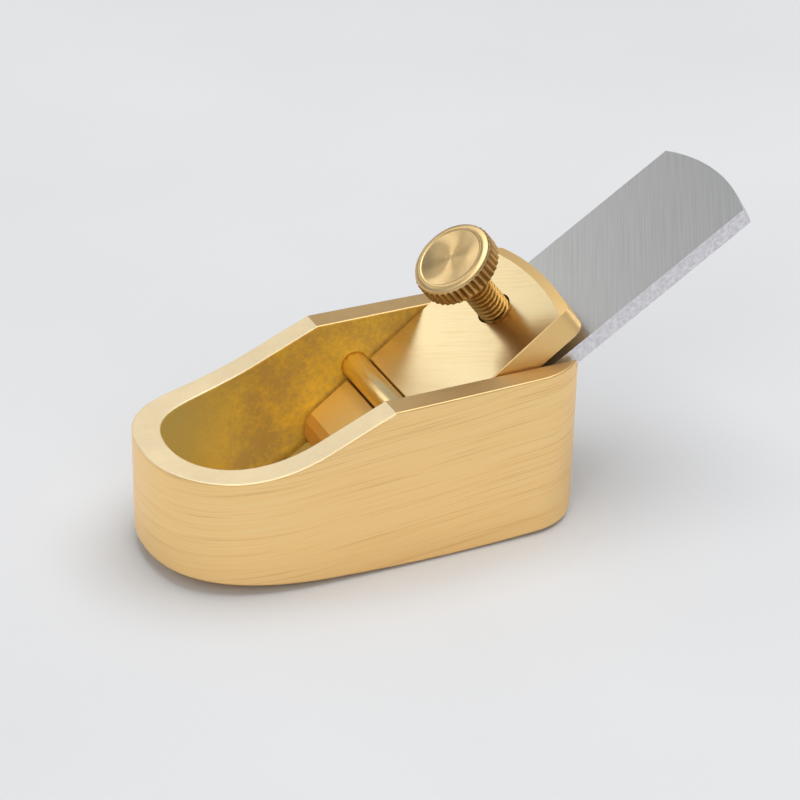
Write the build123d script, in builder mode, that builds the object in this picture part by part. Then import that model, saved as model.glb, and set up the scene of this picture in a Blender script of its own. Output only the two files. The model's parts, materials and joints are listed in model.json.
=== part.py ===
# A miniature one-handed brass plane for instrument making.
# X runs from the toe to the heel, Y across the plane and Z up.
# The origin is the crown of the sole, the spot that the plane stands on.
import os
from math import cos, radians, sin, sqrt, tan

from build123d import *

# body, in millimetres
body_length = 34.0
body_width = 17.0
toe_to_crown = 22.0  # from the toe's tip back to the crown of the sole
toe_length = 11.6  # how far the curved toe reaches along each side
toe_fullness = 0.68  # how square the toe is: 0.552 would be an ellipse
heel_width = 16.0  # the sides draw in slightly towards the heel
heel_corner_radius = 5.0  # the heel's corners, seen from above
heel_foot_radius = 3.5  # the heel's lower corner, seen from the side
wall = 2.1
rim_edge_radius = 0.12  # the rim's edges are broken, the sole's a little more
foot_edge_radius = 0.2
floor_height = 2.0  # the floor of the toe well above the crown

# rim, as heights above the crown
toe_rim_height = 9.72
rim_bend_from_toe = 8.0  # where the toe's rim turns upwards
rim_bend_height = 9.53
rim_bend_radius = 18.6
peak_from_toe = 16.9
peak_height = 13.5
heel_rim_height = 13.81

# sole, arched along and across
sole_radius = 180.0
crown_flat = 8.0  # diameter of the small flat lapped on the crown

# blade and its bed
bed_angle = 33.0
blade_width = 12.0
blade_thickness = 1.4
blade_length = 44.0
blade_end_radius = 16.0
blade_bevel_angle = 25.0
edge_from_toe = 10.8  # the cutting edge, level with the sole
mouth_gap = 0.7  # from the cutting edge to the mouth's front lip
bed_gap = 0.02  # between the blade and its bed, so that it slides

# cross pin
pin_from_toe = 20.1
pin_height = 9.5
pin_diameter = 2.1
pin_hole_chamfer = 0.15

# lever cap, measured along and square to its top face from the pin's axis
cap_angle = 37.6
cap_width = 12.4
cap_top = -0.36
cap_end = 15.3
cap_end_radius = 28.0
cap_corner_radius = 1.2
cap_edge_radius = 0.1
cap_heel_thickness = 2.5
cap_heel_bevel = (0.75, 0.4)
nose_tip = -6.8
nose_bottom = -2.09
nose_points = [(-6.68, -1.5), (-5.85, -0.62), (-5.1, -0.36)]
groove_width = 2.4
groove_depth = 0.72  # leaves the pin 0.03 mm clear of the groove's floor
groove_corner_radius = 0.35

# thumb screw, an M2.5 thread under a round head
screw_from_pin = 10.8
screw_lean = 5.0  # degrees out of square with the cap, towards the near side
screw_diameter = 2.5
screw_hole_diameter = 2.84
screw_point_diameter = 2.0  # the plain end that bears on the blade
screw_point_length = 1.25
screw_tip_flat = 0.4  # radius of the flat on the tip
screw_tip_height = -3.44
head_diameter = 6.56
head_thickness = 1.92
head_top = 6.54
head_bead_width = 0.4
head_dish_depth = 0.14
head_edge_chamfer = 0.2
knurl_count = 40
knurl_depth = 0.16
knurl_start = 0.42  # height of the plain bead above the knurl

toe_x = -toe_to_crown
heel_x = toe_x + body_length
half_width = body_width / 2
half_cavity = half_width - wall
shoulder_x = toe_x + toe_length
peak_x = toe_x + peak_from_toe
crown_depth = (crown_flat / 2) ** 2 / (2 * sole_radius)
tall = 40.0  # more than any height of the plane


def sole_height(x):
    """Height of the arched sole at x, on the centre line."""
    return sole_radius - crown_depth - sqrt(sole_radius**2 - x**2)


def slope_plane(x, z, angle, side_view=False):
    """A plane through (x, z) that rises towards the heel, or the side view of it."""
    along = (cos(radians(angle)), 0, sin(radians(angle)))
    square = (-sin(radians(angle)), 0, cos(radians(angle)))
    return Plane(origin=(x, 0, z), x_dir=along, z_dir=(0, -1, 0) if side_view else square)


def round_toe(tip_x, half):
    """Half of a blunt rounded toe, from its tip to where the side begins."""
    reach = shoulder_x - tip_x
    return Bezier(
        (tip_x, 0),
        (tip_x, toe_fullness * half),
        (shoulder_x - toe_fullness * reach, half),
        (shoulder_x, half),
    )


def edges_between(some_faces, other_faces):
    """The edges where a face of one set meets a face of the other."""
    other_edges = [edge for face in other_faces for edge in face.edges()]
    some_edges = [edge for face in some_faces for edge in face.edges()]
    return [edge for edge in some_edges if any(edge.is_same(other) for other in other_edges)]


edge_x = toe_x + edge_from_toe
edge_z = sole_height(edge_x)
pin_x = toe_x + pin_from_toe
blade_top = slope_plane(edge_x, edge_z, bed_angle)
blade_side = slope_plane(edge_x, edge_z, bed_angle, side_view=True)
cap_face = slope_plane(pin_x, pin_height, cap_angle)
cap_side = slope_plane(pin_x, pin_height, cap_angle, side_view=True)
screw_foot = cap_face.from_local_coords((screw_from_pin, 0, 0))
lean_axis = Axis((0, 0, 0), cap_face.x_dir)
screw_up = cap_face.z_dir.rotate(lean_axis, screw_lean)
screw_side = Plane(
    origin=screw_foot,
    x_dir=cap_face.x_dir,
    z_dir=cap_side.z_dir.rotate(lean_axis, screw_lean),
)
screw_end_view = Plane(origin=screw_foot, x_dir=cap_face.x_dir, z_dir=screw_up)


# the body's outside, seen from above, as a tall block
with BuildPart() as outside:
    with BuildSketch() as footprint:
        with BuildLine():
            toe = round_toe(toe_x, half_width)
            side = TangentArc(toe @ 1, (heel_x, heel_width / 2), tangent=toe % 1)
            Line(side @ 1, (heel_x, 0))
            mirror(about=Plane.XZ)
        make_face()
        heel_corners = footprint.vertices().group_by(Axis.X)[-1].sort_by(Axis.Y)
        fillet([heel_corners[0], heel_corners[-1]], radius=heel_corner_radius)
    extrude(amount=tall)

# everything between the walls: the toe well, the throat and the room above the bed
with BuildPart() as hollow:
    with BuildSketch(Plane.XY.offset(-1)):
        with BuildLine():
            inner_toe = round_toe(toe_x + wall, half_cavity)
            inner_side = Line(inner_toe @ 1, (heel_x + 1, half_cavity))
            Line(inner_side @ 1, (heel_x + 1, 0))
            mirror(about=Plane.XZ)
        make_face()
    extrude(amount=tall)
    with BuildSketch(Plane.XZ):
        bed_drop = (blade_thickness + bed_gap) / cos(radians(bed_angle))
        bed_line = edge_z - bed_drop - edge_x * tan(radians(bed_angle))
        throat_x = edge_x - mouth_gap
        with BuildLine():
            Polyline(
                (toe_x, floor_height),
                (throat_x, floor_height),
                (throat_x, -1),
                ((-1 - bed_line) / tan(radians(bed_angle)), -1),
                (heel_x + 1, bed_line + (heel_x + 1) * tan(radians(bed_angle))),
                (heel_x + 1, tall),
                (toe_x, tall),
                close=True,
            )
        make_face()
    extrude(amount=body_width, both=True, mode=Mode.INTERSECT)

with BuildPart() as body:
    add(outside.part)
    with BuildSketch(Plane.XZ) as side_view:
        with BuildLine():
            rim = FilletPolyline(
                (toe_x - 1, toe_rim_height),
                (toe_x + rim_bend_from_toe, rim_bend_height),
                (peak_x, peak_height),
                radius=rim_bend_radius,
            )
            Polyline(
                rim @ 1,
                (heel_x, heel_rim_height),
                (heel_x, 0),
                (toe_x - 1, 0),
                rim @ 0,
            )
        make_face()
        heel_foot = side_view.vertices().group_by(Axis.X)[-1].sort_by(Axis.Y)[0]
        fillet(heel_foot, radius=heel_foot_radius)
    extrude(amount=body_width, both=True, mode=Mode.INTERSECT)
    with Locations(Location((0, 0, sole_radius - crown_depth), (90, 0, 0))):
        Sphere(sole_radius, mode=Mode.INTERSECT)
    add(hollow.part, mode=Mode.SUBTRACT)
    with BuildSketch(Plane.XZ):
        with Locations((pin_x, pin_height)):
            Circle(pin_diameter / 2)
    extrude(amount=body_width, both=True, mode=Mode.SUBTRACT)
    pin_rims = body.edges().filter_by(GeomType.CIRCLE).filter_by_position(
        Axis.Y, -half_cavity - 0.01, half_cavity + 0.01
    )
    pin_rims = pin_rims.filter_by(lambda e: abs(e.radius - pin_diameter / 2) < 0.01)
    chamfer(pin_rims, pin_hole_chamfer)
    outer_sides = body.faces().filter_by(
        lambda face: abs(face.normal_at().Z) < 0.05
        and (abs(face.center().Y) > half_cavity or face.center().X < toe_x + wall / 2)
    )
    sole_face = body.faces().filter_by(GeomType.SPHERE)
    fillet(edges_between(sole_face, outer_sides), radius=foot_edge_radius)
    upright = body.faces().filter_by(lambda face: abs(face.normal_at().Z) < 0.05)
    rim_faces = body.faces().filter_by(
        lambda face: face.normal_at().Z > 0.86 and face.center().Z > rim_bend_height
    )
    fillet(edges_between(rim_faces, upright), radius=rim_edge_radius)

# the pin's ends are finished off level with the sides
with BuildPart() as cross_pin:
    with BuildSketch(Plane.XZ):
        with Locations((pin_x, pin_height)):
            Circle(pin_diameter / 2)
    extrude(amount=body_width, both=True)
    add(outside.part, mode=Mode.INTERSECT)

with BuildPart() as blade:
    with BuildSketch(blade_side):
        bevel_length = blade_thickness / tan(radians(blade_bevel_angle))
        with BuildLine():
            Polyline(
                (0, 0),
                (blade_length, 0),
                (blade_length, -blade_thickness),
                (bevel_length, -blade_thickness),
                close=True,
            )
        make_face()
    extrude(amount=blade_width / 2, both=True)
    with BuildSketch(blade_top):
        half_blade = blade_width / 2
        arc_start = blade_length - blade_end_radius + sqrt(blade_end_radius**2 - half_blade**2)
        with BuildLine():
            blade_arc = ThreePointArc(
                (arc_start, half_blade), (blade_length, 0), (arc_start, -half_blade)
            )
            Polyline(blade_arc @ 1, (0, -half_blade), (0, half_blade), blade_arc @ 0)
        make_face()
    extrude(amount=2 * blade_thickness, both=True, mode=Mode.INTERSECT)

with BuildPart() as lever_cap:
    with BuildSketch(cap_side) as cap_section:
        with BuildLine():
            Polyline(
                (nose_tip, nose_bottom),
                *nose_points,
                (cap_end, cap_top),
                (cap_end, cap_top - cap_heel_thickness),
                close=True,
            )
        make_face()
    extrude(amount=cap_width / 2, both=True)
    with BuildSketch(cap_face):
        half_cap = cap_width / 2
        cap_arc_start = cap_end - cap_end_radius + sqrt(cap_end_radius**2 - half_cap**2)
        with BuildLine():
            cap_arc = ThreePointArc(
                (cap_arc_start, half_cap), (cap_end, 0), (cap_arc_start, -half_cap)
            )
            Polyline(cap_arc @ 1, (nose_tip, -half_cap), (nose_tip, half_cap), cap_arc @ 0)
        make_face()
    extrude(amount=tall, both=True, mode=Mode.INTERSECT)
    heel_corners = lever_cap.edges().filter_by(
        lambda edge: cap_face.to_local_coords(edge.center()).X > cap_arc_start - 1
        and abs(edge.center().Y) > half_cap - 0.1
        and edge.length < cap_heel_thickness + 0.1
    )
    fillet(heel_corners, radius=cap_corner_radius)
    with BuildSketch(cap_side):
        bevel_reach, bevel_drop = cap_heel_bevel
        with BuildLine():
            Polyline(
                (cap_end - 2 * bevel_reach, cap_top + bevel_drop),
                (cap_end + bevel_reach, cap_top + bevel_drop),
                (cap_end + bevel_reach, cap_top - 2 * bevel_drop),
                close=True,
            )
        make_face()
    arc_centre = cap_face.from_local_coords((cap_end - cap_end_radius, 0, 0))
    revolve(axis=Axis(arc_centre, cap_face.z_dir), mode=Mode.SUBTRACT)
    with BuildSketch(cap_side) as groove:
        with Locations((0, cap_top)):
            Rectangle(groove_width, 2 * groove_depth)
        fillet(groove.vertices().group_by(Axis.Y)[0], radius=groove_corner_radius)
    extrude(amount=cap_width, both=True, mode=Mode.SUBTRACT)
    with BuildSketch(screw_end_view):
        Circle(screw_hole_diameter / 2)
    extrude(amount=tall, both=True, mode=Mode.SUBTRACT)
    top_faces = lever_cap.faces().filter_by(Axis(cap_face.origin, cap_face.z_dir))
    top_faces = top_faces.filter_by(
        lambda face: cap_face.to_local_coords(face.center()).Z > cap_top - 0.1
    )
    walls = lever_cap.faces().filter_by(Plane.XZ)
    walls += lever_cap.faces().filter_by(Axis(cap_face.origin, cap_face.x_dir))
    fillet(edges_between(top_faces, walls), radius=cap_edge_radius)

with BuildPart() as thumb_screw:
    with BuildSketch(screw_side):
        shank = screw_diameter / 2
        point = screw_point_diameter / 2
        head = head_diameter / 2
        under_head = head_top - head_thickness
        point_end = screw_tip_height + screw_point_length
        with BuildLine():
            Polyline(
                (0, screw_tip_height),
                (screw_tip_flat, screw_tip_height),
                (point, screw_tip_height + point - screw_tip_flat),
                (point, point_end),
                (shank, point_end + shank - point),
                (shank, under_head),
                (head - head_edge_chamfer, under_head),
                (head, under_head + head_edge_chamfer),
                (head, head_top - head_edge_chamfer),
                (head - head_edge_chamfer, head_top),
                (head - head_bead_width, head_top),
                (head - head_bead_width - head_dish_depth, head_top - head_dish_depth),
                (0, head_top - head_dish_depth),
                close=True,
            )
        make_face()
    revolve(axis=Axis(screw_foot, screw_up))
    with BuildSketch(screw_end_view.offset(under_head)):
        with PolarLocations(head, knurl_count):
            Rectangle(2 * knurl_depth / sqrt(2), 2 * knurl_depth / sqrt(2), rotation=45)
    extrude(amount=head_thickness - knurl_start, mode=Mode.SUBTRACT)

pieces = {
    "body": body,
    "blade": blade,
    "cross_pin": cross_pin,
    "lever_cap": lever_cap,
    "thumb_screw": thumb_screw,
}
os.makedirs("parts", exist_ok=True)
for name, piece in pieces.items():
    piece.part.label = name
    export_step(piece.part, f"parts/{name}.step")
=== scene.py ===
import json
from math import cos, pi, radians, sin

import bmesh
import bpy
from mathutils import Matrix, Vector


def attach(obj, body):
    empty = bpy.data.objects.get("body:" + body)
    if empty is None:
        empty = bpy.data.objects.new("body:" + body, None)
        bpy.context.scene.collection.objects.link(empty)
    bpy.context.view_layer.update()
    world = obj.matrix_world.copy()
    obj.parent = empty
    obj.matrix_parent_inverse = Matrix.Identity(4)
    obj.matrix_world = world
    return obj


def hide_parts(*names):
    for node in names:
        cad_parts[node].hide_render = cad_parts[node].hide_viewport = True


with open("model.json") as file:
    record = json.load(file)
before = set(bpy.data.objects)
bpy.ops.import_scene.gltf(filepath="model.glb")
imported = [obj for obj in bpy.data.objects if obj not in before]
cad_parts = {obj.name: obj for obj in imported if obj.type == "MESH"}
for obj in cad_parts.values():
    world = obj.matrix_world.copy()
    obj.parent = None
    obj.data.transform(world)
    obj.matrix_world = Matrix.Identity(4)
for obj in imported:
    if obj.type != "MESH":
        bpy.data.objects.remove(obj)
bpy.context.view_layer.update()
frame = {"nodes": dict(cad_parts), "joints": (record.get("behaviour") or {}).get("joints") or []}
scene = bpy.context.scene
scene.view_settings.view_transform = "Standard"
mm = 0.001
perMm = 1000.0  # texture scales count repeats per metre


def linearColour(hexCode):
    # #RRGGBB turned into the linear values that Blender mixes with
    channels = [int(hexCode[i:i + 2], 16) / 255 for i in (1, 3, 5)]
    return [c / 12.92 if c <= 0.04045 else ((c + 0.055) / 1.055) ** 2.4 for c in channels] + [1.0]


def addNode(tree, kind, settings=None, inputs=None):
    # inputs holds plain values or other nodes' output sockets, stops a ramp's places and colours
    node = tree.nodes.new("ShaderNode" + kind)
    for name, value in (settings or {}).items():
        if name == "stops":
            ramp = node.color_ramp
            while len(ramp.elements) < len(value):
                ramp.elements.new(0.5)
            for element, (place, colour) in zip(ramp.elements, value):
                element.position = place
                element.color = linearColour(colour)
        else:
            setattr(node, name, value)
    for name, value in (inputs or {}).items():
        if isinstance(value, bpy.types.NodeSocket):
            tree.links.new(value, node.inputs[name])
        else:
            node.inputs[name].default_value = value
    return node.outputs


def addLines(tree, vector, rotation, width, stretch):
    # brushed lines: the pattern is turned first and only then drawn out along its own axes
    turned = addNode(tree, "Mapping", inputs={"Vector": vector, "Rotation": rotation})
    drawn = addNode(tree, "Mapping", inputs={"Vector": turned[0], "Scale": stretch})
    return addNode(tree, "TexNoise", inputs={
        "Vector": drawn[0], "Scale": perMm / width, "Detail": 3, "Roughness": 0.6})[0]


def newMaterial(name):
    material = bpy.data.materials.new(name)
    material.use_nodes = True
    material.node_tree.nodes.clear()
    return material, material.node_tree


def finishMaterial(tree, values):
    shader = addNode(tree, "BsdfPrincipled", inputs=values)
    addNode(tree, "OutputMaterial", inputs={"Surface": shader[0]})


def dress(piece, material):
    piece.data.materials.clear()
    piece.data.materials.append(material)


# camera
cameraSetup = {
    "azimuth": 25.06,  # degrees round towards the toe from square on to the near side
    "elevation": 28.90,
    "roll": 1.354,
    "distance": 0.2078,
    "target": (-0.00084, 0.0001, 0.00935),
    "lens": 121.7,
    "nearest": 0.01,
}


def makeCamera():
    azimuth, elevation = radians(cameraSetup["azimuth"]), radians(cameraSetup["elevation"])
    back = Vector((-sin(azimuth) * cos(elevation), -cos(azimuth) * cos(elevation), sin(elevation)))
    data = bpy.data.cameras.new("camera")
    data.lens = cameraSetup["lens"]
    data.clip_start = cameraSetup["nearest"]
    camera = bpy.data.objects.new("camera", data)
    scene.collection.objects.link(camera)
    turn = (-back).to_track_quat("-Z", "Y").to_matrix().to_4x4()
    roll = Matrix.Rotation(radians(cameraSetup["roll"]), 4, "Z")
    place = Vector(cameraSetup["target"]) + back * cameraSetup["distance"]
    camera.matrix_world = Matrix.Translation(place) @ turn @ roll
    scene.camera = camera


makeCamera()
print("camera placed")

# studio
studio = {
    "floorSize": 4.0,
    "floorDark": "#D9DADC",
    "floorPale": "#DFE0E2",
    "floorCloud": 60,  # mm across
    "floorRoughness": 0.8,
    "floorShine": 0.2,
    "skyColour": "#F4F6F8",
    "skyFront": 0.20,  # strength on the viewer's side, where the room is darker
    "skyBack": 0.42,
    "skyTurnsFrom": -0.8,  # the change starts and ends here, 1 being straight away from the viewer
    "skyTurnsTo": 0.6,
}
lamps = [
    # name, direction from the plane, distance and size in metres, radiance, colour
    ("overhead", (0.20, 0.02, 0.98), 0.9, (0.8, 0.9), 2.75, "#FFFFFF"),
    ("backLeftStrip", (-0.57, 0.69, 0.46), 0.8, (1.05, 0.22), 1.08, "#FFFDF8"),
    ("frontFill", (-0.30, -0.70, 0.64), 1.0, (0.9, 0.5), 2.1, "#FFFFFF"),
]


def makeFloor():
    mesh = bpy.data.meshes.new("floor")
    half = studio["floorSize"] / 2
    corners = [(-half, -half, 0), (half, -half, 0), (half, half, 0), (-half, half, 0)]
    mesh.from_pydata(corners, [], [(0, 1, 2, 3)])
    floorSheet = bpy.data.objects.new("floor", mesh)
    scene.collection.objects.link(floorSheet)
    # matt card: no mirror image of the plane, and a cloud just strong enough to look like paper
    material, tree = newMaterial("paleBackdropCard")
    cloud = addNode(tree, "TexNoise", inputs={
        "Vector": addNode(tree, "TexCoord")["Object"], "Scale": perMm / studio["floorCloud"], "Detail": 3})
    shade = addNode(tree, "ValToRGB", {"stops": [
        (0.3, studio["floorDark"]), (0.7, studio["floorPale"])]}, {"Fac": cloud[0]})
    finishMaterial(tree, {
        "Base Color": shade["Color"], "Roughness": studio["floorRoughness"],
        "Specular IOR Level": studio["floorShine"]})
    dress(floorSheet, material)


def makeSky():
    world = bpy.data.worlds.new("studio")
    scene.world = world
    world.use_nodes = True
    tree = world.node_tree
    background = tree.nodes["Background"]
    background.inputs["Color"].default_value = linearColour(studio["skyColour"])
    heading = addNode(tree, "SeparateXYZ", inputs={0: addNode(tree, "TexCoord")["Generated"]})
    glow = addNode(tree, "MapRange", inputs={
        "Value": heading["Y"], "From Min": studio["skyTurnsFrom"], "From Max": studio["skyTurnsTo"],
        "To Min": studio["skyFront"], "To Max": studio["skyBack"]})
    tree.links.new(glow[0], background.inputs["Strength"])


def makeLamps():
    for name, direction, distance, size, radiance, colour in lamps:
        light = bpy.data.lights.new(name, "AREA")
        light.shape = "RECTANGLE"
        light.size, light.size_y = size
        light.energy = radiance * pi * size[0] * size[1]
        light.color = linearColour(colour)[:3]
        lamp = bpy.data.objects.new(name, light)
        scene.collection.objects.link(lamp)
        away = Vector(direction).normalized()
        turn = away.to_track_quat("Z", "Y").to_matrix().to_4x4()
        lamp.matrix_world = Matrix.Translation(away * distance) @ turn


makeFloor()
makeSky()
makeLamps()
print("studio lit")

# body, its lengths in mm
bodyBrass = {
    "middleX": -8,  # the walls' inner faces look back towards this line across the plane
    "peakX": -5.1,  # where the curved rim ends and the straight rim starts
    "rimLowest": 9,
    "lineWidth": 0.13,  # real belt scratches are nearer 0.03, drawn coarser so that they show
    "lineLength": 10.0,
    "bandWidth": 0.9,
    "bandLength": 22.0,
    "bandShare": 0.4,
    "lineSlope": 4.5,  # degrees, the lines climb towards the heel
    "sway": 0.3,  # how far a line wanders off straight
    "swayLength": 7,
    "flankDark": "#E9C083",
    "flankMain": "#FFD693",
    "flankPale": "#FFDD9E",
    "flankRoughness": 0.38,
    "rimColour": "#FAE8C2",
    "rimRoughness": 0.62,
    # painted reflection: the straight heel rim is painted a darker brown for the dark room it mirrors
    "heelRimPaintedReflection": "#E6C288",
    "heelRimRoughness": 0.42,
    "blotchSize": 5.0,
    "speckleSize": 0.35,
    "speckleShare": 0.35,
    "insideMain": "#FFD850",
    "insideDull": "#D8B25C",
    "insideToe": "#D6C273",  # the hollow of the toe is the dullest
    "toeFromX": -10,
    "toeToX": -17,
    "insideMetal": 0.55,  # the rest is a thin film of tarnish
    "insideRoughness": 0.68,
    "bumpStrength": 0.10,
    "bumpDepth": 0.02,
}


def addBeltLines(tree, vector):
    # long thin streaks with wider bands behind them, a little wavy
    b = bodyBrass
    wander = addNode(tree, "TexNoise", inputs={
        "Vector": vector, "Scale": perMm / b["swayLength"], "Detail": 1})
    sway = addNode(tree, "VectorMath", {"operation": "SCALE"}, {
        0: wander["Color"], "Scale": b["sway"] * mm})
    swayed = addNode(tree, "VectorMath", {"operation": "ADD"}, {0: vector, 1: sway[0]})
    slope = (0, radians(b["lineSlope"]), 0)
    thin = b["lineWidth"] / b["lineLength"]
    wide = b["bandWidth"] / b["bandLength"]
    fine = addLines(tree, swayed[0], slope, b["lineWidth"], (thin, thin, 1))
    broad = addLines(tree, swayed[0], slope, b["bandWidth"], (wide, wide, 1))
    streaks = addNode(tree, "Math", {"operation": "MULTIPLY_ADD"}, {0: broad, 1: b["bandShare"], 2: fine})
    flank = addNode(tree, "ValToRGB", {"stops": [
        (0.45, b["flankDark"]), (0.64, b["flankMain"]), (0.92, b["flankPale"])]}, {"Fac": streaks[0]})
    return flank["Color"], fine


def findBodyAreas(tree, place):
    # shares from 0 to 1 of each place that is inside the hollow, on the rim and on the rim's heel part
    b = bodyBrass
    position = addNode(tree, "SeparateXYZ", inputs={0: place["Object"]})
    normal = addNode(tree, "SeparateXYZ", inputs={0: place["Normal"]})
    fromMiddle = addNode(tree, "Math", {"operation": "ADD"}, {0: position["X"], 1: -b["middleX"] * mm})
    alongX = addNode(tree, "Math", {"operation": "MULTIPLY"}, {0: normal["X"], 1: fromMiddle[0]})
    outward = addNode(tree, "Math", {"operation": "MULTIPLY_ADD"}, {
        0: normal["Y"], 1: position["Y"], 2: alongX[0]})
    facingIn = addNode(tree, "MapRange", inputs={
        "Value": outward[0], "From Min": -0.5 * mm, "From Max": -1.0 * mm})
    facingUp = addNode(tree, "MapRange", inputs={
        "Value": normal["Z"], "From Min": 0.55, "From Max": 0.65})
    belowRim = addNode(tree, "Math", {"operation": "LESS_THAN"}, {
        0: position["Z"], 1: b["rimLowest"] * mm})
    onWellFloor = addNode(tree, "Math", {"operation": "MULTIPLY"}, {0: belowRim[0], 1: facingUp[0]})
    onWall = addNode(tree, "Math", {"operation": "SUBTRACT", "use_clamp": True}, {
        0: facingIn[0], 1: facingUp[0]})
    inside = addNode(tree, "Math", {"operation": "MAXIMUM"}, {0: onWall[0], 1: onWellFloor[0]})
    onRim = addNode(tree, "Math", {"operation": "SUBTRACT", "use_clamp": True}, {
        0: facingUp[0], 1: onWellFloor[0]})
    heelward = addNode(tree, "Math", {"operation": "GREATER_THAN"}, {
        0: position["X"], 1: b["peakX"] * mm})
    onHeelRim = addNode(tree, "Math", {"operation": "MULTIPLY"}, {0: onRim[0], 1: heelward[0]})
    towardsToe = addNode(tree, "MapRange", inputs={
        "Value": position["X"], "From Min": b["toeFromX"] * mm, "From Max": b["toeToX"] * mm})
    return inside[0], onRim[0], onHeelRim[0], towardsToe[0]


def makeBodyBrass():
    # cast brass: the belt leaves long soft streaks along the flanks, fine paper a creamy rim,
    # and the untouched inside has dulled unevenly to a deep gold
    b = bodyBrass
    material, tree = newMaterial("beltLinishedBrass")
    place = addNode(tree, "TexCoord")
    inside, onRim, onHeelRim, towardsToe = findBodyAreas(tree, place)
    flank, fine = addBeltLines(tree, place["Object"])

    blotch = addNode(tree, "TexNoise", inputs={
        "Vector": place["Object"], "Scale": perMm / b["blotchSize"], "Detail": 6, "Roughness": 0.65})
    speckle = addNode(tree, "TexNoise", inputs={
        "Vector": place["Object"], "Scale": perMm / b["speckleSize"], "Detail": 3, "Roughness": 0.7})
    dulling = addNode(tree, "Math", {"operation": "MULTIPLY_ADD"}, {
        0: speckle[0], 1: b["speckleShare"], 2: blotch[0]})
    insideColour = addNode(tree, "ValToRGB", {"stops": [
        (0.55, b["insideDull"]), (0.80, b["insideMain"])]}, {"Fac": dulling[0]})
    insideShade = addNode(tree, "Mix", {"data_type": "RGBA"}, {
        0: towardsToe, 6: insideColour["Color"], 7: linearColour(b["insideToe"])})
    rimMottle = addNode(tree, "MapRange", inputs={
        "Value": dulling[0], "From Min": 0.4, "From Max": 0.9, "To Min": 0.90, "To Max": 1.04})
    # the heel rim's darker brown is a painted reflection of the dark room behind
    rimColour = addNode(tree, "Mix", {"data_type": "RGBA"}, {
        0: onHeelRim, 6: linearColour(b["rimColour"]), 7: linearColour(b["heelRimPaintedReflection"])})
    rimShade = addNode(tree, "VectorMath", {"operation": "SCALE"}, {
        0: rimColour[2], "Scale": rimMottle[0]})
    outerShade = addNode(tree, "Mix", {"data_type": "RGBA"}, {0: onRim, 6: flank, 7: rimShade[0]})
    colour = addNode(tree, "Mix", {"data_type": "RGBA"}, {
        0: inside, 6: outerShade[2], 7: insideShade[2]})

    rimRough = addNode(tree, "Mix", {"data_type": "FLOAT"}, {
        0: onHeelRim, 2: b["rimRoughness"], 3: b["heelRimRoughness"]})
    outerRough = addNode(tree, "Mix", {"data_type": "FLOAT"}, {
        0: onRim, 2: b["flankRoughness"], 3: rimRough[0]})
    roughness = addNode(tree, "Mix", {"data_type": "FLOAT"}, {
        0: inside, 2: outerRough[0], 3: b["insideRoughness"]})
    metallic = addNode(tree, "MapRange", inputs={
        "Value": inside, "To Min": 1.0, "To Max": b["insideMetal"]})
    relief = addNode(tree, "Mix", {"data_type": "FLOAT"}, {0: inside, 2: fine, 3: dulling[0]})
    bump = addNode(tree, "Bump", inputs={
        "Height": relief[0], "Strength": b["bumpStrength"], "Distance": b["bumpDepth"] * mm})
    finishMaterial(tree, {
        "Base Color": colour[2], "Metallic": metallic[0], "Roughness": roughness[0], "Normal": bump[0]})
    return material


dress(frame["nodes"]["body"], makeBodyBrass())
print("body finished")

# lever cap, its lengths in mm
capBrass = {
    "slope": 37.6,  # degrees
    "lineWidth": 0.12,  # coarser than the paper's real 0.03, so that it shows
    "lineLength": 4.0,
    "lineTurn": 33.0,  # degrees from square across
    "cloudSize": 4.0,
    "cloudShare": 0.6,
    "main": "#F0DBAC",
    "dark": "#EBD2A0",
    "roughness": 0.25,
    "pinRoughness": 0.42,  # next to the pin, where the buffing wheel reached it less
    "buffedFromX": -2.0,
    "buffedToX": 3.5,
    "noseX": -3.2,  # the nose is everything nearer the toe than this
    "noseBlend": 0.3,
    # painted highlight: the nose is painted paler where it catches the overhead light
    "noseHighlightColour": "#FFE7A8",
    "bevelColour": "#F2CE8E",
    "filedRoughness": 0.50,
    "bumpStrength": 0.03,
    "bumpDepth": 0.01,
}


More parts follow.
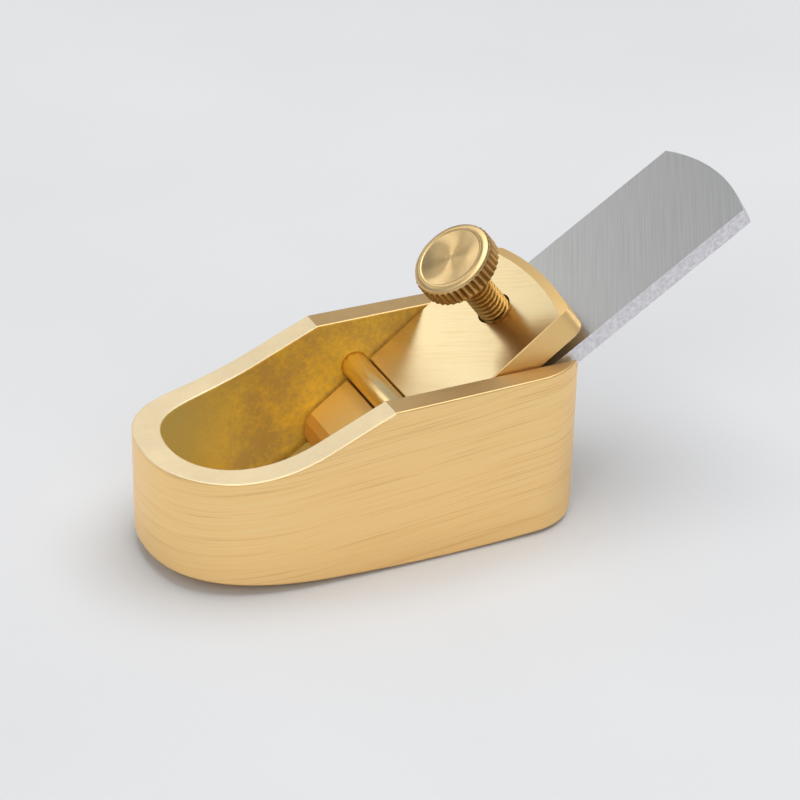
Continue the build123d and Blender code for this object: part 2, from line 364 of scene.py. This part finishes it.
def makeCapBrass():
    # brass drawn over fine paper at a slant, then buffed: a soft mirror on top, and a nose and yellower
    # bevels that were only filed and so scatter the light; the nose's paler colour is a painted highlight of
    # the overhead light
    c = capBrass
    material, tree = newMaterial("satinBrassCap")
    place = addNode(tree, "TexCoord")
    position = addNode(tree, "SeparateXYZ", inputs={0: place["Object"]})
    lines = addLines(tree, place["Object"], (0, radians(c["slope"]), radians(-c["lineTurn"])),
                     c["lineWidth"], (1, c["lineWidth"] / c["lineLength"], 1))
    cloud = addNode(tree, "TexNoise", inputs={
        "Vector": place["Object"], "Scale": perMm / c["cloudSize"], "Detail": 4, "Roughness": 0.6})
    surface = addNode(tree, "Math", {"operation": "MULTIPLY_ADD"}, {
        0: cloud[0], 1: c["cloudShare"], 2: lines})
    shade = addNode(tree, "ValToRGB", {"stops": [(0.55, c["dark"]), (0.85, c["main"])]}, {"Fac": surface[0]})
    bump = addNode(tree, "Bump", inputs={
        "Height": surface[0], "Strength": c["bumpStrength"], "Distance": c["bumpDepth"] * mm})

    onNose = addNode(tree, "MapRange", inputs={
        "Value": position["X"],
        "From Min": (c["noseX"] + c["noseBlend"]) * mm, "From Max": (c["noseX"] - c["noseBlend"]) * mm})
    # painted highlight on the nose
    nosed = addNode(tree, "Mix", {"data_type": "RGBA"}, {
        0: onNose[0], 6: shade["Color"], 7: linearColour(c["noseHighlightColour"])})
    buffed = addNode(tree, "MapRange", {"interpolation_type": "SMOOTHERSTEP"}, {
        "Value": position["X"], "From Min": c["buffedFromX"] * mm, "From Max": c["buffedToX"] * mm,
        "To Min": c["pinRoughness"], "To Max": c["roughness"]})
    nosedRough = addNode(tree, "Mix", {"data_type": "FLOAT"}, {
        0: onNose[0], 2: buffed[0], 3: c["filedRoughness"]})

    topNormal = (-sin(radians(c["slope"])), 0, cos(radians(c["slope"])))
    facing = addNode(tree, "VectorMath", {"operation": "DOT_PRODUCT"}, {0: place["Normal"], 1: topNormal})
    offTop = addNode(tree, "MapRange", inputs={
        "Value": facing["Value"], "From Min": 0.985, "From Max": 0.95})
    colour = addNode(tree, "Mix", {"data_type": "RGBA"}, {
        0: offTop[0], 6: nosed[2], 7: linearColour(c["bevelColour"])})
    roughness = addNode(tree, "Mix", {"data_type": "FLOAT"}, {
        0: offTop[0], 2: nosedRough[0], 3: c["filedRoughness"]})
    finishMaterial(tree, {
        "Base Color": colour[2], "Metallic": 1.0, "Roughness": roughness[0], "Normal": bump[0]})
    return material


dress(frame["nodes"]["lever_cap"], makeCapBrass())
print("lever cap finished")

# cross pin, its lengths in mm
pinBrass = {
    "lineWidth": 0.12,  # coarser than the die's real marks, so that they show
    "lineLength": 2.4,
    "main": "#FFEDB6",
    "dull": "#F2CF8C",
    "roughness": 0.28,
    "bumpStrength": 0.1,
    "bumpDepth": 0.02,
}


def makePinBrass():
    # drawn brass rod: a bright line of light along it, broken up a little by the die's marks;
    # its ends were linished with the body's sides, so the belt lines run on across them
    p = pinBrass
    material, tree = newMaterial("drawnBrassRod")
    place = addNode(tree, "TexCoord")
    lines = addLines(tree, place["Object"], (0, 0, 0), p["lineWidth"],
                     (1, p["lineWidth"] / p["lineLength"], 1))
    shade = addNode(tree, "ValToRGB", {"stops": [(0.3, p["dull"]), (0.6, p["main"])]}, {"Fac": lines})
    normal = addNode(tree, "SeparateXYZ", inputs={0: place["Normal"]})
    sideways = addNode(tree, "Math", {"operation": "ABSOLUTE"}, {0: normal["Y"]})
    onEnd = addNode(tree, "Math", {"operation": "GREATER_THAN"}, {0: sideways[0], 1: 0.8})
    flank, fine = addBeltLines(tree, place["Object"])
    colour = addNode(tree, "Mix", {"data_type": "RGBA"}, {0: onEnd[0], 6: shade["Color"], 7: flank})
    roughness = addNode(tree, "Mix", {"data_type": "FLOAT"}, {
        0: onEnd[0], 2: p["roughness"], 3: bodyBrass["flankRoughness"]})
    relief = addNode(tree, "Mix", {"data_type": "FLOAT"}, {0: onEnd[0], 2: lines, 3: fine})
    bump = addNode(tree, "Bump", inputs={
        "Height": relief[0], "Strength": p["bumpStrength"], "Distance": p["bumpDepth"] * mm})
    finishMaterial(tree, {
        "Base Color": colour[2], "Metallic": 1.0, "Roughness": roughness[0], "Normal": bump[0]})
    return material


dress(frame["nodes"]["cross_pin"], makePinBrass())
print("cross pin finished")

# blade, its lengths in mm
bladeSteel = {
    "slope": 33.0,  # degrees
    "lineWidth": 0.12,  # coarser than the grinder's real 0.04, so that it shows
    "lineLength": 9.0,
    "lineTurn": 31.5,  # degrees from square across
    "main": "#DADADA",
    "dark": "#CCCCCB",
    "roughness": 0.34,
    "mottleSize": 0.35,
    "edgeMain": "#EFEDF1",
    "edgeDark": "#DAD8DB",
    "edgeRoughness": 0.5,
    "bumpStrength": 0.05,
    "bumpDepth": 0.01,
}


def makeBladeSteel():
    # tool steel: grinding at a slant gives its faces fine parallel lines and an even grey,
    # and its sheared edges are paler and finely mottled
    s = bladeSteel
    material, tree = newMaterial("groundToolSteel")
    place = addNode(tree, "TexCoord")
    normal = addNode(tree, "SeparateXYZ", inputs={0: place["Normal"]})
    lines = addLines(tree, place["Object"], (0, radians(s["slope"]), radians(s["lineTurn"])),
                     s["lineWidth"], (1, s["lineWidth"] / s["lineLength"], 1))
    shade = addNode(tree, "ValToRGB", {"stops": [(0.3, s["dark"]), (0.65, s["main"])]}, {"Fac": lines})
    mottle = addNode(tree, "TexNoise", inputs={
        "Vector": place["Object"], "Scale": perMm / s["mottleSize"], "Detail": 4, "Roughness": 0.6})
    edgeShade = addNode(tree, "ValToRGB", {"stops": [
        (0.38, s["edgeDark"]), (0.6, s["edgeMain"])]}, {"Fac": mottle[0]})
    sideways = addNode(tree, "Math", {"operation": "ABSOLUTE"}, {0: normal["Y"]})
    onEdge = addNode(tree, "MapRange", inputs={"Value": sideways[0], "From Min": 0.5, "From Max": 0.6})
    colour = addNode(tree, "Mix", {"data_type": "RGBA"}, {
        0: onEdge[0], 6: shade["Color"], 7: edgeShade["Color"]})
    roughness = addNode(tree, "Mix", {"data_type": "FLOAT"}, {
        0: onEdge[0], 2: s["roughness"], 3: s["edgeRoughness"]})
    relief = addNode(tree, "Mix", {"data_type": "FLOAT"}, {0: onEdge[0], 2: lines, 3: mottle[0]})
    bump = addNode(tree, "Bump", inputs={
        "Height": relief[0], "Strength": s["bumpStrength"], "Distance": s["bumpDepth"] * mm})
    finishMaterial(tree, {
        "Base Color": colour[2], "Metallic": 1.0, "Roughness": roughness[0], "Normal": bump[0]})
    return material


dress(frame["nodes"]["blade"], makeBladeSteel())
print("blade finished")

# thumb screw, turned as one grid wrapped round its axis, its lengths in mm
thumbScrew = {
    "pitch": 0.45,  # M2.5 coarse
    "rowsPerTurn": 12,
    "major": 1.25,
    "minor": 0.98,
    "rootFlat": 0.14,  # shares of half a pitch that the rounded root and the flank take up
    "flankRun": 0.70,
    "tipFlat": 0.4,
    "point": 1.0,
    "lead": 0.25,
    "tipHeight": -3.44,  # heights run along its axis, from the slope through the cross pin's middle
    "pointEnd": -2.19,
    "threadEnd": 3.85,
    "underHead": 4.62,
    "headRadius": 3.28,
    "knurls": 40,
    "knurlCut": (0.0, 0.0, 0.45, 1.0, 1.0, 0.45),  # a land, then a groove with its root rounded
    "knurlDepth": 0.19,
    "knurlShade": 0.18,  # how far in from the edge the painted shade is at its darkest
    "knurlBand": 0.26,  # and how far in it reaches
    "knurlTop": 6.12,
    "headTop": 6.54,
    "dishDepth": 0.14,
    "sharpAngle": 38,  # degrees
    "main": "#F0D29B",
    "dark": "#DDB87C",
    # painted shade under the head and down the thread
    "underHeadShade": "#B8914F",
    # painted shade on the knurled side, darkest in the grooves
    "knurlGrooveShade": "#90642A",
    "roughness": 0.36,
    "anisotropic": 0.95,
    "ringWidth": 0.06,  # the lathe tool's rings are nearer 0.03, drawn coarser so that they show
    "smudgeSize": 1.2,
    "smudgeShare": 0.5,
    "bumpStrength": 0.03,
    "bumpDepth": 0.005,
}


def threadRadius(height, angle):
    # a 60 degree form with rounded roots, fading out at both ends
    t = thumbScrew
    phase = (height / t["pitch"] - angle / (2 * pi)) % 1.0
    swing = abs(phase - 0.5) * 2  # 0 in the root's middle, 1 at the crest's
    form = min(1.0, max(0.0, (swing - t["rootFlat"]) / t["flankRun"]))
    form = form * form * (3 - 2 * form) * 0.5 + form * 0.5
    fade = min(1.0, (t["threadEnd"] - height) / 0.3, (height - t["pointEnd"] - t["lead"]) / 0.2)
    depth = (t["major"] - t["minor"]) * max(0.0, fade)
    return t["major"] - depth * (1 - form)


def screwRows():
    # height, radius, kind of row, and how deep its knurling is
    t = thumbScrew
    shoulder = t["tipHeight"] + t["point"] - t["tipFlat"]
    start, end = t["pointEnd"] + t["lead"], t["threadEnd"]
    rows = [
        (t["tipHeight"], t["tipFlat"], "plain", 0),
        (shoulder - 0.08, t["point"] - 0.08, "plain", 0),
        (shoulder + 0.06, t["point"], "plain", 0),
        (t["pointEnd"], t["point"], "plain", 0),
        (start, t["major"], "plain", 0),
    ]
    steps = int((end - start) / (t["pitch"] / t["rowsPerTurn"]))
    rows += [(start + (end - start) * i / steps, t["major"], "thread", 0) for i in range(1, steps + 1)]
    under, top, head, knurlTop = t["underHead"], t["headTop"], t["headRadius"], t["knurlTop"]
    rows += [
        (under - 0.12, t["major"], "plain", 0),
        (under - 0.03, t["major"] + 0.03, "plain", 0),
        (under, t["major"] + 0.12, "plain", 0),
        (under, head - 0.34, "plain", 0),
        (under + 0.03, head - 0.24, "plain", 0),
        (under + 0.10, head - 0.12, "knurl", 0.35),
        (under + 0.22, head, "knurl", 1.0),
        (knurlTop - 0.12, head, "knurl", 1.0),
        (knurlTop - 0.05, head - 0.01, "knurl", 0.75),
        (knurlTop, head - 0.05, "knurl", 0.3),
        (knurlTop + 0.03, head - 0.09, "plain", 0),
    ]
    # the rounded bead round the head, then the dished face: depth below the top, step in from the edge
    for drop, stepIn in (
            (0.28, 0.11), (0.20, 0.17), (0.12, 0.27), (0.05, 0.40), (0.01, 0.53),
            (0.00, 0.62), (0.02, 0.70), (0.07, 0.76), (0.09, 0.82)):
        rows.append((top - drop, head - stepIn, "plain", 0))
    rows.append((top - 0.13, head * 0.4, "plain", 0))
    return rows


def makeThumbScrew():
    t = thumbScrew
    columns = t["knurls"] * len(t["knurlCut"])
    mesh = bmesh.new()
    rings = []
    for height, radius, kind, strength in screwRows():
        ring = []
        for column in range(columns):
            angle = 2 * pi * column / columns
            r = radius
            if kind == "thread":
                r = threadRadius(height, angle)
            elif kind == "knurl":
                r = radius - t["knurlDepth"] * t["knurlCut"][column % len(t["knurlCut"])] * strength
            ring.append(mesh.verts.new((r * cos(angle) * mm, r * sin(angle) * mm, height * mm)))
        rings.append(ring)
    for lower, upper in zip(rings, rings[1:]):
        for column in range(columns):
            after = (column + 1) % columns
            mesh.faces.new((lower[column], lower[after], upper[after], upper[column]))
    tip = mesh.verts.new((0, 0, t["tipHeight"] * mm))
    crown = mesh.verts.new((0, 0, (t["headTop"] - t["dishDepth"]) * mm))
    for column in range(columns):
        after = (column + 1) % columns
        mesh.faces.new((tip, rings[0][after], rings[0][column]))
        mesh.faces.new((crown, rings[-1][column], rings[-1][after]))
    data = bpy.data.meshes.new("thumbScrew")
    mesh.to_mesh(data)
    mesh.free()
    data.polygons.foreach_set("use_smooth", [True] * len(data.polygons))
    data.set_sharp_from_angle(angle=radians(t["sharpAngle"]))
    screw = bpy.data.objects.new("thumbScrew", data)
    scene.collection.objects.link(screw)
    return screw


def placeScrew(screw):
    # the turning joint says where the screw's axis is and which way it points
    joint = next(j for j in frame["joints"] if j["name"] == "thumb_screw_turn")
    pivot, axis = Vector(joint["pos_m"]), Vector(joint["axis"]).normalized()
    along = Vector((0, 1, 0)).cross(axis).normalized()
    across = axis.cross(along)
    turn = Matrix((along, across, axis)).transposed().to_4x4()
    screw.matrix_world = Matrix.Translation(pivot) @ turn


def makeScrewBrass():
    # free-cutting brass turned bright on a lathe: the tool's rings draw every highlight out along
    # the radius, which gives the face its pale and dark wedges; under the head, down the thread and in the
    # knurl's grooves it is painted a darker brown, painted shade
    t = thumbScrew
    material, tree = newMaterial("turnedBrass")
    place = addNode(tree, "TexCoord")
    position = addNode(tree, "SeparateXYZ", inputs={0: place["Object"]})
    flatPart = addNode(tree, "CombineXYZ", inputs={0: position["X"], 1: position["Y"], 2: 0.0})
    radius = addNode(tree, "VectorMath", {"operation": "LENGTH"}, {0: flatPart[0]})
    ringSpot = addNode(tree, "CombineXYZ", inputs={0: radius["Value"], 1: position["Z"], 2: 0.0})
    rings = addNode(tree, "TexNoise", inputs={
        "Vector": ringSpot[0], "Scale": perMm / t["ringWidth"], "Detail": 2, "Roughness": 0.6})
    smudge = addNode(tree, "TexNoise", inputs={
        "Vector": place["Object"], "Scale": perMm / t["smudgeSize"], "Detail": 3, "Roughness": 0.6})
    surface = addNode(tree, "Math", {"operation": "MULTIPLY_ADD"}, {
        0: smudge[0], 1: t["smudgeShare"], 2: rings[0]})
    bright = addNode(tree, "ValToRGB", {"stops": [(0.45, t["dark"]), (0.9, t["main"])]}, {"Fac": surface[0]})

    # painted shade from the head's underside down the thread
    below = addNode(tree, "MapRange", inputs={
        "Value": position["Z"],
        "From Min": (t["underHead"] + 0.12) * mm, "From Max": (t["underHead"] + 0.02) * mm})
    shade = addNode(tree, "Mix", {"data_type": "RGBA"}, {
        0: below[0], 6: bright["Color"], 7: linearColour(t["underHeadShade"])})
    # painted shade on the knurl, darkest deep in its grooves
    grooveShading = addNode(tree, "MapRange", inputs={
        "Value": radius["Value"], "From Min": t["headRadius"] * mm,
        "From Max": (t["headRadius"] - t["knurlShade"]) * mm, "To Min": 0.6, "To Max": 1.0})
    outside = addNode(tree, "Math", {"operation": "GREATER_THAN"}, {
        0: radius["Value"], 1: (t["headRadius"] - t["knurlBand"]) * mm})
    belowBead = addNode(tree, "Math", {"operation": "LESS_THAN"}, {
        0: position["Z"], 1: (t["knurlTop"] - 0.02) * mm})
    onKnurl = addNode(tree, "Math", {"operation": "MULTIPLY"}, {0: outside[0], 1: belowBead[0]})
    knurlShading = addNode(tree, "Math", {"operation": "MULTIPLY"}, {0: onKnurl[0], 1: grooveShading[0]})
    colour = addNode(tree, "Mix", {"data_type": "RGBA"}, {
        0: knurlShading[0], 6: shade[2], 7: linearColour(t["knurlGrooveShade"])})
    bump = addNode(tree, "Bump", inputs={
        "Height": rings[0], "Strength": t["bumpStrength"], "Distance": t["bumpDepth"] * mm})
    tangent = addNode(tree, "Tangent", {"direction_type": "RADIAL", "axis": "Z"})
    finishMaterial(tree, {
        "Base Color": colour[2], "Metallic": 1.0, "Roughness": t["roughness"],
        "Anisotropic": t["anisotropic"], "Tangent": tangent[0], "Normal": bump[0]})
    return material


thumbScrewPiece = makeThumbScrew()
placeScrew(thumbScrewPiece)
dress(thumbScrewPiece, makeScrewBrass())
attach(thumbScrewPiece, "thumb_screw")
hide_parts("thumb_screw")
print("thumb screw turned")
